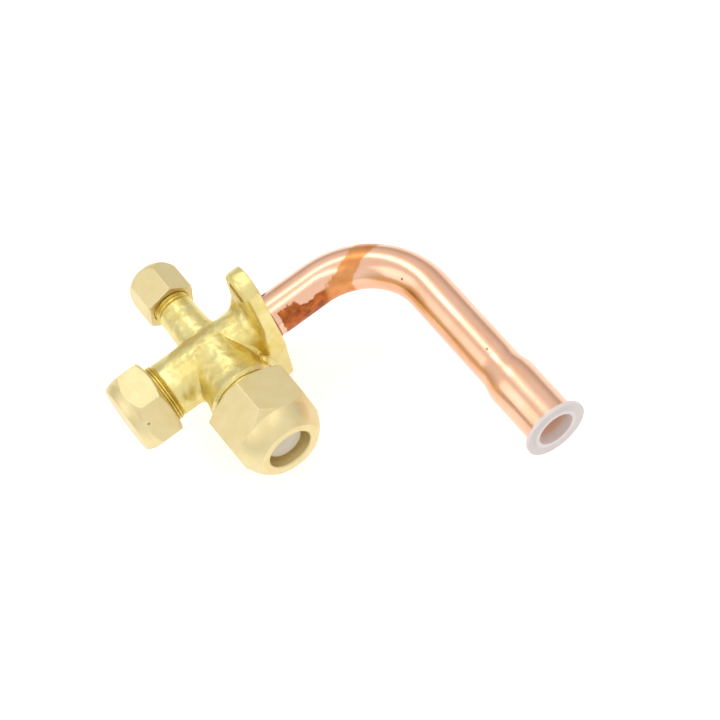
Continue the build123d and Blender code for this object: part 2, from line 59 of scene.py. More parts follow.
# ---- valve body ---------------------------------------------------------------------------------
# The body is one hot forging of brass, blasted and bright-dipped, so that its skin is pale yellow and
# slightly uneven. The threads for the stem cap, the service port and the flare nut are cut afterwards.
BRANCH_X = sum(v.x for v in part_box("port_cap")) / 2
SPIGOT_R, SPIGOT_PITCH = 8.6 * MM, 0.8 * MM
PORT_R, PORT_PITCH = 5.55 * MM, 1.27 * MM
FLARE_R, FLARE_PITCH = 9.525 * MM, 1.5875 * MM
THREAD_DEPTH = 0.62         # of the pitch
SPIGOT_CUT = (34.0 * MM, 45.0 * MM)     # how far out along its own axis each thread is cut
PORT_CUT = (18.6 * MM, 33.5 * MM)
FLARE_CUT = (17.6 * MM, 32.0 * MM)
RUN_OUT = 1.0 * MM          # where the cutter leaves the neck at the thread's root
SPIGOT_START, PORT_START, FLARE_START = -33.8 * MM, 18.2 * MM, 16.9 * MM    # where bare cut metal begins
FLASH_PLACE, FLASH_SIZE = (-7.7 * MM, -9.2 * MM, -1.4 * MM), (2.0 * MM, 2.5 * MM, 2.0 * MM)
ON_A_NECK = 1.05            # times a thread's radius: faces this near its axis belong to the neck
FORGED_SMOOTH = radians(30)             # edges flatter than this are shaded smooth
ORIGIN, UPRIGHT = (0, 0, 0), (0, 0, 0)
STEM_SIDE, FLARE_SIDE, PORT_SIDE = (0, -pi / 2, 0), (pi / 2, 0, 0), (-pi / 2, 0, 0)     # turned from +Z


def pick(piece):
    """Makes one object the only one selected, and the active one."""
    bpy.ops.object.select_all(action="DESELECT")
    piece.select_set(True)
    bpy.context.view_layer.objects.active = piece


def worked_copy(node, name):
    """A copy of a CAD node with its triangles joined, to be worked on."""
    piece = bpy.data.objects.new(name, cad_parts[node].data.copy())
    bpy.context.scene.collection.objects.link(piece)
    pick(piece)
    bpy.ops.object.mode_set(mode="EDIT")
    bpy.ops.mesh.select_all(action="SELECT")
    bpy.ops.mesh.remove_doubles(threshold=1e-6)
    bpy.ops.mesh.customdata_custom_splitnormals_clear()
    bpy.ops.mesh.normals_make_consistent(inside=False)
    bpy.ops.object.mode_set(mode="OBJECT")
    bpy.ops.object.shade_smooth_by_angle(angle=FORGED_SMOOTH)
    return piece


def apply_modifiers(piece):
    """Applies a piece's modifiers, in their order."""
    pick(piece)
    for name in [m.name for m in piece.modifiers]:
        bpy.ops.object.modifier_apply(modifier=name)


def cut_thread(piece, radius, pitch, start, end, place, turn, run_out=0.0, inside=False):
    """Cuts a 60 degree V thread into a neck, or a bore, whose axis is the turned Z through place."""
    depth = THREAD_DEPTH * pitch
    reach = depth * 0.75    # the cutter's circle, so that its back stands a little outside the neck
    tip, outwards = (radius + depth, -1) if inside else (radius - depth, 1)
    turns = round((end - start) / pitch)
    bpy.ops.object.select_all(action="DESELECT")
    bpy.ops.mesh.primitive_circle_add(
        vertices=3, radius=reach, fill_type="NOTHING", rotation=(pi / 2, -outwards * pi / 2, 0),
        location=(tip + outwards * reach, 0, start))
    cutter = bpy.context.active_object
    bpy.ops.object.transform_apply(location=True, rotation=True, scale=True)
    screw = cutter.modifiers.new("thread", "SCREW")
    screw.angle, screw.screw_offset, screw.iterations = 2 * pi, pitch, turns
    screw.steps = screw.render_steps = 64
    screw.use_merge_vertices = False
    apply_modifiers(cutter)
    for v in cutter.data.vertices:
        fade = 1 - (v.co.z - start) / run_out if run_out else 0
        if fade > 0:
            flat = Vector((v.co.x, v.co.y, 0))
            v.co += flat.normalized() * depth * min(fade, 1)
    bpy.ops.object.mode_set(mode="EDIT")
    bpy.ops.mesh.select_all(action="SELECT")
    bpy.ops.mesh.fill_holes(sides=3)
    bpy.ops.mesh.normals_make_consistent(inside=False)
    bpy.ops.object.mode_set(mode="OBJECT")
    cutter.rotation_euler, cutter.location = turn, place
    bpy.ops.object.transform_apply(location=True, rotation=True, scale=True)
    cut = piece.modifiers.new("thread", "BOOLEAN")
    cut.operation, cut.object, cut.solver = "DIFFERENCE", cutter, "EXACT"
    apply_modifiers(piece)
    bpy.data.objects.remove(cutter)


branch = Vector((BRANCH_X, 0, 0))
body = worked_copy("valve_body", "forged_body")
cut_thread(body, SPIGOT_R, SPIGOT_PITCH, *SPIGOT_CUT, ORIGIN, STEM_SIDE)
cut_thread(body, PORT_R, PORT_PITCH, *PORT_CUT, branch, PORT_SIDE, run_out=RUN_OUT)
cut_thread(body, FLARE_R, FLARE_PITCH, *FLARE_CUT, branch, FLARE_SIDE, run_out=RUN_OUT)

# a bead of forging flash, left in the narrow corner between the flare branch and the flange
bpy.ops.object.select_all(action="DESELECT")
bpy.ops.mesh.primitive_uv_sphere_add(
    segments=24, ring_count=16, radius=1.0, location=FLASH_PLACE, scale=FLASH_SIZE)
flash = bpy.context.active_object
bpy.ops.object.transform_apply(location=True, rotation=True, scale=True)
pick(body)
flash.select_set(True)
bpy.ops.object.join()
bpy.ops.object.shade_smooth_by_angle(angle=FORGED_SMOOTH)


def node_group(name, inputs, outputs):
    """An empty shader group with number inputs and their defaults, and number outputs."""
    tree = bpy.data.node_groups.new(name, "ShaderNodeTree")
    for label, value in inputs.items():
        socket = tree.interface.new_socket(name=label, in_out="INPUT", socket_type="NodeSocketFloat")
        socket.default_value = value
    for label in outputs:
        tree.interface.new_socket(name=label, in_out="OUTPUT", socket_type="NodeSocketFloat")
    return tree, tree.nodes.new("NodeGroupInput"), tree.nodes.new("NodeGroupOutput")


def add(tree, kind, **settings):
    """A node with its properties set; keys that are input names set those inputs."""
    node = tree.nodes.new(kind)
    for key, value in settings.items():
        if hasattr(node, key):
            setattr(node, key, value)
        else:
            node.inputs[key.replace("_", " ").title()].default_value = value
    return node


def sum_of(tree, first, second, how="ADD", clamp=False):
    """A Math node's output; each side is a socket or a number."""
    node = add(tree, "ShaderNodeMath", operation=how, use_clamp=clamp)
    for socket, side in zip(node.inputs, (first, second)):
        if isinstance(side, (int, float)):
            socket.default_value = side
        else:
            tree.links.new(side, socket)
    return node.outputs[0]


def make_blotches():
    """Soft patches, such as uneven dipping, stains and handling marks, from 0 to 1."""
    tree, given, result = node_group("blotches", {"Scale": 200.0, "Contrast": 2.0}, ["Mask"])
    coords = add(tree, "ShaderNodeTexCoord")
    noise = add(tree, "ShaderNodeTexNoise", detail=4.0, roughness=0.55)
    tree.links.new(coords.outputs["Object"], noise.inputs["Vector"])
    tree.links.new(given.outputs["Scale"], noise.inputs["Scale"])
    centred = sum_of(tree, noise.outputs["Fac"], 0.5, "SUBTRACT")
    spread = sum_of(tree, centred, given.outputs["Contrast"], "MULTIPLY")
    tree.links.new(sum_of(tree, spread, 0.5, "ADD", clamp=True), result.inputs["Mask"])
    return tree


def make_worn_edges_and_sheen():
    """1 along each outer edge, which handling and tumbling polish and where a painted highlight stands for
    light on the edge's rounding; and the rounded normal there.
    """
    tree, given, result = node_group("worn_edges_and_sheen", {"Width": 0.0004, "Strength": 6.0}, ["Mask"])
    tree.interface.new_socket(name="Normal", in_out="OUTPUT", socket_type="NodeSocketVector")
    rounded = add(tree, "ShaderNodeBevel", samples=6)
    surface = add(tree, "ShaderNodeNewGeometry")
    dot = add(tree, "ShaderNodeVectorMath", operation="DOT_PRODUCT")
    tree.links.new(given.outputs["Width"], rounded.inputs["Radius"])
    tree.links.new(rounded.outputs["Normal"], result.inputs["Normal"])
    tree.links.new(rounded.outputs["Normal"], dot.inputs[0])
    tree.links.new(surface.outputs["Normal"], dot.inputs[1])
    lean = sum_of(tree, 1.0, dot.outputs["Value"], "SUBTRACT")
    mask = sum_of(tree, lean, given.outputs["Strength"], "MULTIPLY", clamp=True)
    tree.links.new(mask, result.inputs["Mask"])
    return tree


def make_hollow_shade():
    """1 in inner corners and recesses, which ambient occlusion finds: the mask for painted shade there."""
    tree, given, result = node_group("hollow_shade", {"Reach": 0.006, "Strength": 2.0}, ["Mask"])
    open_sky = add(tree, "ShaderNodeAmbientOcclusion", samples=8, only_local=True)
    tree.links.new(given.outputs["Reach"], open_sky.inputs["Distance"])
    closed = sum_of(tree, 1.0, open_sky.outputs["AO"], "SUBTRACT")
    mask = sum_of(tree, closed, given.outputs["Strength"], "MULTIPLY", clamp=True)
    tree.links.new(mask, result.inputs["Mask"])
    return tree


blotches, worn_edges_and_sheen, hollow_shade = make_blotches(), make_worn_edges_and_sheen(), make_hollow_shade()


def mark_at(tree, place, radius):
    """A small round mark at one place in mm: 1 at its middle and 0 past its radius."""
    coords = add(tree, "ShaderNodeTexCoord")
    away = add(tree, "ShaderNodeVectorMath", operation="DISTANCE")
    tree.links.new(coords.outputs["Object"], away.inputs[0])
    away.inputs[1].default_value = [c * MM for c in place]
    inside = sum_of(tree, radius * MM, away.outputs["Value"], "SUBTRACT")
    return sum_of(tree, inside, 2 / (radius * MM), "MULTIPLY", clamp=True)


def new_finish(name, metallic, roughness, colour):
    """A material with a Principled BSDF: its tree and that shader."""
    material = bpy.data.materials.new(name)
    material.use_nodes = True
    shader = material.node_tree.nodes["Principled BSDF"]
    shader.inputs["Metallic"].default_value = metallic
    shader.inputs["Roughness"].default_value = roughness
    shader.inputs["Base Color"].default_value = (*colour, 1)
    return material, material.node_tree, shader


def effect(tree, group, output="Mask", **values):
    """Places a shared group in a material and gives one of its outputs, or both."""
    node = tree.nodes.new("ShaderNodeGroup")
    node.node_tree = group
    for key, value in values.items():
        node.inputs[key.title()].default_value = value
    return node.outputs[output] if output else node.outputs


def blend_colour(tree, mask, low, high):
    """low where the mask is 0 and high where it is 1; each is a colour or a socket."""
    mix = add(tree, "ShaderNodeMix", data_type="RGBA")      # whose colour sockets are inputs 6 and 7
    tree.links.new(mask, mix.inputs["Factor"])
    for socket, side in ((mix.inputs[6], low), (mix.inputs[7], high)):
        if isinstance(side, tuple):
            socket.default_value = (*side, 1)
        else:
            tree.links.new(side, socket)
    return mix.outputs[2]


def blend_number(tree, mask, low, high):
    """low where the mask is 0 and high where it is 1."""
    mix = add(tree, "ShaderNodeMix", data_type="FLOAT")
    tree.links.new(mask, mix.inputs["Factor"])
    mix.inputs[2].default_value, mix.inputs[3].default_value = low, high
    return mix.outputs[0]


def bump(tree, shader, height, distance, normal=None):
    """Unevenness of the surface, distance metres deep, on top of the given normal."""
    node = add(tree, "ShaderNodeBump")
    if normal:
        tree.links.new(normal, node.inputs["Normal"])
    node.inputs["Distance"].default_value = distance
    tree.links.new(height, node.inputs["Height"])
    tree.links.new(node.outputs["Normal"], shader.inputs["Normal"])


def dress(piece, material):
    """Gives a piece one material."""
    piece.data.materials.clear()
    piece.data.materials.append(material)


SKIN_DENTS = 0.6 * MM       # depth of the forging's unevenness
FLANGE_SHADE_SPOT, FLANGE_SHADE_SPOT_R = (-6.1, -8.4, -3.4), 1.0        # mm: painted shade, a dark spot in the narrow corner by the flange


def make_forged_brass():
    """The forging's skin: pale, slightly dented, with painted shade, a deeper yellow, in its inner corners.
    """
    material, tree, shader = new_finish("forged_brass", 1.0, 0.42, (0.84, 0.73, 0.33))
    skin = effect(tree, blotches, scale=160.0, contrast=1.8)
    tone = blend_colour(tree, skin, (0.77, 0.61, 0.20), (0.86, 0.77, 0.38))
    # painted shade: a darker, deeper yellow wherever ambient occlusion finds an inner corner
    tone = blend_colour(tree, effect(tree, hollow_shade, reach=0.006, strength=1.6), tone, (0.70, 0.52, 0.09))
    # painted shade: a dark spot where the narrow corner by the flange lies in shadow
    tone = blend_colour(tree, mark_at(tree, FLANGE_SHADE_SPOT, FLANGE_SHADE_SPOT_R), tone, (0.40, 0.33, 0.12))
    edges, soft_normal = effect(tree, worn_edges_and_sheen, output=None, width=0.00012, strength=3.0)
    # lighter along each edge: partly polish from handling, partly a painted highlight on the rounded edge
    tree.links.new(blend_colour(tree, edges, tone, (0.93, 0.88, 0.58)), shader.inputs["Base Color"])
    tree.links.new(blend_number(tree, skin, 0.46, 0.32), shader.inputs["Roughness"])
    coords = add(tree, "ShaderNodeTexCoord")
    grain = add(tree, "ShaderNodeTexNoise", scale=2600.0, detail=3.0)
    dents = add(tree, "ShaderNodeTexNoise", scale=420.0, detail=2.0, distortion=0.4)
    waves = add(tree, "ShaderNodeTexNoise", scale=260.0, detail=1.0)
    for noise in (grain, dents, waves):
        tree.links.new(coords.outputs["Object"], noise.inputs["Vector"])
    fine = sum_of(tree, sum_of(tree, grain.outputs["Fac"], 0.06, "MULTIPLY"),
                  sum_of(tree, dents.outputs["Fac"], 0.25, "MULTIPLY"))
    bump(tree, shader, sum_of(tree, fine, waves.outputs["Fac"]), SKIN_DENTS, soft_normal)
    return material


def make_cut_brass():
    """The threads, cut through the skin after forging: clean, golden and brighter."""
    material, tree, shader = new_finish("cut_brass", 1.0, 0.27, (0.80, 0.64, 0.21))
    skin = effect(tree, blotches, scale=500.0, contrast=1.8)
    tone = blend_colour(tree, skin, (0.70, 0.54, 0.13), (0.84, 0.71, 0.27))
    tree.links.new(tone, shader.inputs["Base Color"])
    tree.links.new(blend_number(tree, skin, 0.42, 0.32), shader.inputs["Roughness"])
    return material


forged_brass = make_forged_brass()
dress(body, forged_brass)
body.data.materials.append(make_cut_brass())
for face in body.data.polygons:
    spot = face.center
    beside = abs(spot.x - BRANCH_X)
    on_spigot = spot.x < SPIGOT_START
    on_port = spot.y > PORT_START and beside < PORT_R * ON_A_NECK
    on_flare = spot.y < -FLARE_START and beside < FLARE_R * ON_A_NECK
    face.material_index = int(on_spigot or on_port or on_flare)
dress(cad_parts["valve_body"], forged_brass)
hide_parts("valve_body")
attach(body, "valve")


# ---- turned brass pieces -------------------------------------------------------------------------
# Caps, nut, stem and access core are turned from drawn hexagon and round bar, then washed: a paler,
# finely grained brass whose corners are a little polished by the tumbling and painted lighter as a
# highlight.
WASHED_GRAIN = 0.06 * MM    # depth of the fine grain
CAP_PIT, CAP_PIT_R = (-44.4, -9.1, 6.3), 0.45       # mm: a small pit in one flat of the stem cap


def make_turned_brass():
    """Paler than the forging and finely grained, polished along each edge and lit there by a painted
    highlight, with one pit.
    """
    material, tree, shader = new_finish("turned_brass", 1.0, 0.45, (0.80, 0.68, 0.39))
    skin = effect(tree, blotches, scale=240.0, contrast=1.4)
    tone = blend_colour(tree, skin, (0.77, 0.62, 0.30), (0.83, 0.72, 0.42))
    tone = blend_colour(tree, mark_at(tree, CAP_PIT, CAP_PIT_R), tone, (0.30, 0.22, 0.07))
    edges, soft_normal = effect(tree, worn_edges_and_sheen, output=None, width=0.0004, strength=5.0)
    # lighter along each edge: partly polish from tumbling, partly a painted highlight on the rounded edge
    tree.links.new(blend_colour(tree, edges, tone, (0.92, 0.86, 0.60)), shader.inputs["Base Color"])
    tree.links.new(blend_number(tree, skin, 0.52, 0.42), shader.inputs["Roughness"])
    coords = add(tree, "ShaderNodeTexCoord")
    grain = add(tree, "ShaderNodeTexNoise", scale=1800.0, detail=3.0)
    tree.links.new(coords.outputs["Object"], grain.inputs["Vector"])
    bump(tree, shader, grain.outputs["Fac"], WASHED_GRAIN, soft_normal)
    return material


turned_brass = make_turned_brass()
for node in ("stem", "core_body", "core_cup"):
    dress(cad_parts[node], turned_brass)


# ---- hexagon caps and nut ------------------------------------------------------------------------
# Each is turned and threaded from hexagon bar: the corners are turned down at the closed end or nose
# and chamfered at the open rim, and the V thread inside runs the length of the bore. Their sizes are
# in mm, and heights run outwards along the piece's own axis.
LATHE_STEPS, ARC_STEPS = 96, 8
SHY = 0.05                  # a turned face ends this far inside the flats, so that the two cross cleanly
THIRTY = tan(radians(30))   # slope of the chamfers on the corners
TURNED_SMOOTH = radians(25)


def arc(start, middle, end):
    """Points of a circle's arc from start through middle to end, as (radius, height) pairs."""
    (ax, ay), (bx, by), (cx, cy) = start, middle, end
    d = 2 * (ax * (by - cy) + bx * (cy - ay) + cx * (ay - by))
    a2, b2, c2 = ax * ax + ay * ay, bx * bx + by * by, cx * cx + cy * cy
    centre = Vector(((a2 * (by - cy) + b2 * (cy - ay) + c2 * (ay - by)) / d,
                     (a2 * (cx - bx) + b2 * (ax - cx) + c2 * (bx - ax)) / d))
    first, last = Vector(start) - centre, Vector(end) - centre
    sweep = first.angle_signed(last)
    steps = range(ARC_STEPS + 1)
    return [tuple(centre + Matrix.Rotation(-sweep * k / ARC_STEPS, 2) @ first) for k in steps]


def turn_on_lathe(name, profile, ring=False):
    """A turned solid: a circle extruded and scaled along (radius, height) pairs, its ends closed."""
    if ring:
        profile = profile + profile[:1]
    bpy.ops.object.select_all(action="DESELECT")
    bpy.ops.mesh.primitive_circle_add(vertices=LATHE_STEPS, radius=profile[0][0] * MM,
                                      location=(0, 0, profile[0][1] * MM))
    piece = bpy.context.active_object
    piece.name = name
    bpy.ops.object.transform_apply(location=True, rotation=True, scale=True)
    bpy.ops.object.mode_set(mode="EDIT")
    bpy.ops.mesh.select_all(action="SELECT")
    for (r, h), (next_r, next_h) in zip(profile, profile[1:]):
        bpy.ops.mesh.extrude_region_move(TRANSFORM_OT_translate={"value": (0, 0, (next_h - h) * MM)})
        bpy.ops.transform.resize(value=(next_r / r, next_r / r, 1), center_override=(0, 0, next_h * MM))
    bpy.ops.mesh.select_all(action="SELECT")
    bpy.ops.mesh.remove_doubles(threshold=1e-6)
    if not ring:
        bpy.ops.mesh.fill_holes(sides=0)
        bpy.ops.mesh.select_all(action="SELECT")
    bpy.ops.mesh.normals_make_consistent(inside=False)
    bpy.ops.object.mode_set(mode="OBJECT")
    return piece


def cut_hexagon(piece, across_flats, low, high, corner_angle):
    """Leaves what lies in a hexagon bar; a corner stands at corner_angle degrees from X."""
    bpy.ops.object.select_all(action="DESELECT")
    bpy.ops.mesh.primitive_cylinder_add(
        vertices=6, radius=across_flats / sqrt(3) * MM, depth=(high - low + 2) * MM,
        location=(0, 0, (low + high) / 2 * MM), rotation=(0, 0, radians(corner_angle - 90)))
    bar = bpy.context.active_object
    bpy.ops.object.transform_apply(location=True, rotation=True, scale=True)
    cut = piece.modifiers.new("hexagon", "BOOLEAN")
    cut.operation, cut.object, cut.solver = "INTERSECT", bar, "EXACT"
    apply_modifiers(piece)
    bpy.data.objects.remove(bar)


def set_in_place(piece, place, turn, node, body_name, material):
    """Turns and moves a finished piece to its place and hands it to its body."""
    pick(piece)
    piece.rotation_euler, piece.location = turn, place
    bpy.ops.object.transform_apply(location=True, rotation=True, scale=True)
    bpy.ops.object.shade_smooth_by_angle(angle=TURNED_SMOOTH)
    dress(piece, material)
    dress(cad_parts[node], material)
    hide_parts(node)
    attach(piece, body_name)


# the stem cap, from 22 mm bar
CAP_FLATS, CAP_BORE_R, CAP_FLOOR = 22.0, 8.68, 2.8
CAP_CHAMFER = 2.3           # off the corners at the rim
CAP_DROP = 1.9              # height over which the corners come down to the flats
CAP_DOME, CAP_END_R, CAP_BULGE = 2.6, 9.8, 0.15
CAP_LEAD, CAP_STOP = 0.3, 0.4       # plain bore at the rim, and ahead of the cap's floor
CAP_CORNER_AT = -31.0       # degrees
rim, end = -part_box("stem_cap")[1].x / MM, -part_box("stem_cap")[0].x / MM
corner, flat, dome = CAP_FLATS / sqrt(3), CAP_FLATS / 2 - SHY, end - CAP_DOME
cap_end = arc((flat, dome),
              ((flat + CAP_END_R) / 2 + CAP_BULGE, end - CAP_DOME / 2 + CAP_BULGE),
              (CAP_END_R, end))
cap = turn_on_lathe("hexagon_stem_cap", [
    (CAP_BORE_R, end - CAP_FLOOR), (CAP_BORE_R, rim), (corner - CAP_CHAMFER, rim),
    (corner, rim + CAP_CHAMFER * THIRTY), (corner, dome - CAP_DROP)] + cap_end)
cut_hexagon(cap, CAP_FLATS, rim, end, CAP_CORNER_AT)
cut_thread(cap, CAP_BORE_R * MM, SPIGOT_PITCH, (rim + CAP_LEAD) * MM, (end - CAP_FLOOR - CAP_STOP) * MM,
           ORIGIN, UPRIGHT, inside=True)
set_in_place(cap, ORIGIN, STEM_SIDE, "stem_cap", "stem_cap", turned_brass)

# the flare nut, from 25 mm bar
NUT_FLATS, NUT_BORE_R, NUT_THREAD_R = 25.0, 6.6, 9.605
NUT_SEAT = 30.4             # where the thread ends and the 45 degree seat begins
NUT_SHOULDER = 30.4         # where the corners begin to come down
NUT_CHAMFER, NUT_DROP, NUT_NOSE_R, NUT_EDGE, NUT_BULGE = 1.9, 2.2, 9.6, 0.5, 0.35
NUT_MOUTH = 0.4             # chamfer at the bore's mouth
NUT_LEAD, NUT_STOP, NUT_CORNER_AT = 0.6, 1.2, 96.5
back, nose = -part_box("flare_nut")[1].y / MM, -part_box("flare_nut")[0].y / MM
corner, flat, dome = NUT_FLATS / sqrt(3), NUT_FLATS / 2 - SHY, NUT_SHOULDER + NUT_DROP
nut_nose = arc((NUT_NOSE_R, nose - NUT_EDGE),
               ((flat + NUT_NOSE_R) / 2 + NUT_BULGE, (dome + nose - NUT_EDGE) / 2 + NUT_BULGE),
               (flat, dome))
nut = turn_on_lathe("hexagon_flare_nut", [
    (NUT_BORE_R + NUT_MOUTH, nose), (NUT_NOSE_R - NUT_EDGE, nose)] + nut_nose + [
    (corner, NUT_SHOULDER), (corner, back + NUT_CHAMFER * THIRTY), (corner - NUT_CHAMFER, back),
    (NUT_THREAD_R, back), (NUT_THREAD_R, NUT_SEAT), (NUT_BORE_R, NUT_SEAT + NUT_THREAD_R - NUT_BORE_R),
    (NUT_BORE_R, nose - NUT_MOUTH)], ring=True)
cut_hexagon(nut, NUT_FLATS, back, nose, NUT_CORNER_AT)
cut_thread(nut, NUT_THREAD_R * MM, FLARE_PITCH, (back + NUT_LEAD) * MM, (NUT_SEAT - NUT_STOP) * MM,
           ORIGIN, UPRIGHT, inside=True)
set_in_place(nut, branch, FLARE_SIDE, "flare_nut", "flare_nut", turned_brass)

# the service port's cap, from 14 mm bar, domed almost to a point
PORT_FLATS, PORT_BORE_R, PORT_FLOOR, PORT_DOME, PORT_FLAT_R = 14.0, 5.65, 2.0, 4.8, 1.7
PORT_CHAMFER, PORT_LEAD, PORT_STOP, PORT_CORNER_AT = 0.6, 0.6, 0.6, -78.0
rim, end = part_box("port_cap")[0].y / MM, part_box("port_cap")[1].y / MM
corner, halfway = PORT_FLATS / sqrt(3), sin(radians(45))
port_dome = arc((corner, end - PORT_DOME),
                (PORT_FLAT_R + (corner - PORT_FLAT_R) * halfway, end - PORT_DOME + PORT_DOME * halfway),
                (PORT_FLAT_R, end))
port_cap = turn_on_lathe("hexagon_port_cap", [
    (PORT_BORE_R, end - PORT_FLOOR), (PORT_BORE_R, rim), (corner - PORT_CHAMFER, rim),
    (corner, rim + PORT_CHAMFER * THIRTY)] + port_dome)
cut_hexagon(port_cap, PORT_FLATS, rim, end, PORT_CORNER_AT)
cut_thread(port_cap, PORT_BORE_R * MM, PORT_PITCH, (rim + PORT_LEAD) * MM,
           (end - PORT_FLOOR - PORT_STOP) * MM, ORIGIN, UPRIGHT, inside=True)
set_in_place(port_cap, branch, PORT_SIDE, "port_cap", "port_cap", turned_brass)


# ---- seals ---------------------------------------------------------------------------------------
# The O-rings, the port cap's disc and the core's face seal are moulded black rubber. The stem cap's
# gasket and the core's body seal are cut from white PTFE.
def make_plain(name, colour, shade, metallic, roughness, grain_size, depth):
    """A quiet finish: two near colours in soft patches and a fine grain."""
    material, tree, shader = new_finish(name, metallic, roughness, colour)
    skin = effect(tree, blotches, scale=300.0, contrast=1.5)
    tree.links.new(blend_colour(tree, skin, shade, colour), shader.inputs["Base Color"])
    tree.links.new(blend_number(tree, skin, roughness + 0.06, roughness - 0.04), shader.inputs["Roughness"])
    coords = add(tree, "ShaderNodeTexCoord")
    grain = add(tree, "ShaderNodeTexNoise", scale=1 / grain_size, detail=2.0)
    tree.links.new(coords.outputs["Object"], grain.inputs["Vector"])
    bump(tree, shader, grain.outputs["Fac"], depth)
    return material


rubber = make_plain("rubber", (0.03, 0.03, 0.03), (0.018, 0.018, 0.018), 0.0, 0.5, 0.2 * MM, 0.02 * MM)
for node in ("stem_inner_o_ring", "stem_outer_o_ring", "port_cap_seal", "core_cup_seal"):
    dress(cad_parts[node], rubber)
ptfe = make_plain("ptfe", (0.86, 0.86, 0.83), (0.80, 0.80, 0.76), 0.0, 0.42, 0.3 * MM, 0.01 * MM)
for node in ("stem_cap_gasket", "core_seal"):
    dress(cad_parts[node], ptfe)


# ---- steel wire pieces ---------------------------------------------------------------------------
# The stem's snap ring is stamped spring steel and sits in a groove in the spigot's bore. The access
# core's pin and its coil spring are stainless wire.
steel = make_plain("steel", (0.60, 0.60, 0.59), (0.50, 0.50, 0.49), 1.0, 0.28, 0.4 * MM, 0.01 * MM)
for node in ("snap_ring", "core_pin", "core_spring"):
    dress(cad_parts[node], steel)


# ---- flare bonnet --------------------------------------------------------------------------------
# A hollow stopper moulded in grey-white nylon. The flare nut clamps it on the cone, and it shows in
# the nut's bore until the pipe is fitted.
BONNET_R, BONNET_WALL, BONNET_FACE, BONNET_EDGE, BONNET_SKIRT_R = 5.4, 1.0, 35.6, 0.5, 8.0     # mm
CONE_START, CONE_START_R = 30.4, 8.2
CONE_TIP = CONE_START + CONE_START_R    # where the flare's 45 degree cone would come to a point
SKIRT_GAP, SKIRT_WALL = 0.08, 1.5       # off the cone, along the axis
BONNET_HOLLOW_R = BONNET_R - BONNET_WALL
white_plastic = make_plain("white_plastic", (0.84, 0.77, 0.62), (0.78, 0.70, 0.54), 0.0, 0.4,
                           0.4 * MM, 0.01 * MM)
bonnet = turn_on_lathe("moulded_bonnet", [
    (BONNET_HOLLOW_R, BONNET_FACE - BONNET_WALL), (BONNET_HOLLOW_R, CONE_TIP - BONNET_HOLLOW_R + SKIRT_GAP),
    (BONNET_SKIRT_R, CONE_TIP - BONNET_SKIRT_R + SKIRT_GAP),
    (BONNET_SKIRT_R, CONE_TIP - BONNET_SKIRT_R + SKIRT_WALL), (BONNET_R, CONE_TIP - BONNET_R + SKIRT_WALL),
    (BONNET_R, BONNET_FACE - BONNET_EDGE), (BONNET_R - BONNET_EDGE, BONNET_FACE)])
set_in_place(bonnet, branch, FLARE_SIDE, "flare_bonnet", "bonnet", white_plastic)


# ---- copper tube ---------------------------------------------------------------------------------
# Half-inch drawn copper, bent and belled by machine. Brazing left a dark film along the first leg and
# an orange band round the start of the bend; the rest stays bright.
# All of these sizes and places are in mm.
FILM_TOP = ((2.0, 5.4), (8.0, 5.2), (11.0, 3.5), (15.5, 3.7), (21.0, 4.7))      # x, and z of its upper edge
FILM_START, FILM_END, FILM_FRONT = 2.4, 19.0, -2.2
FILM_SPAN, FILM_RISE = 30, 10           # x and z that stand for 1 in the colour ramp of that edge
BAND_START = ((0.339, -0.908, -0.245), 9.4)     # two slanting planes, each a normal and a distance
BAND_END = ((0.257, -0.964, 0.062), 14.6)
SOOT_PLACE, SOOT_SIZE = (2.2, 5.2, 3.8), 2.6
TUBE_SPECKS, SPECK_R = ((35.4, -18.1, 4.9), (39.6, -52.4, 6.3)), 0.45
BELL_START, BELL_LENGTH, BELL_RISE = -57.2, 4.0, 0.96       # y, length and rise of the bell's cone
BELL_BLEND = 3.0                                            # length that the cone's ends run out over


def step_up(tree, value, width):
    """0 below zero, 1 above width, and smooth between."""
    ramp = add(tree, "ShaderNodeMapRange", interpolation_type="SMOOTHSTEP")
    tree.links.new(value, ramp.inputs["Value"])
    ramp.inputs["From Min"].default_value, ramp.inputs["From Max"].default_value = 0.0, width
    return ramp.outputs["Result"]


def past_plane(tree, coords, plane):
    """How far a point is past a plane, in metres."""
    normal, distance = plane
    dot = add(tree, "ShaderNodeVectorMath", operation="DOT_PRODUCT")
    tree.links.new(coords.outputs["Object"], dot.inputs[0])
    dot.inputs[1].default_value = normal
    return sum_of(tree, dot.outputs["Value"], distance * MM, "SUBTRACT")


def ragged(tree, coords, size, depth):
    """A signed unevenness in metres, for the edge of a stain."""
    noise = add(tree, "ShaderNodeTexNoise", scale=1 / (size * MM), detail=5.0, roughness=0.65)
    tree.links.new(coords.outputs["Object"], noise.inputs["Vector"])
    return sum_of(tree, sum_of(tree, noise.outputs["Fac"], 0.5, "SUBTRACT"), depth * MM, "MULTIPLY")


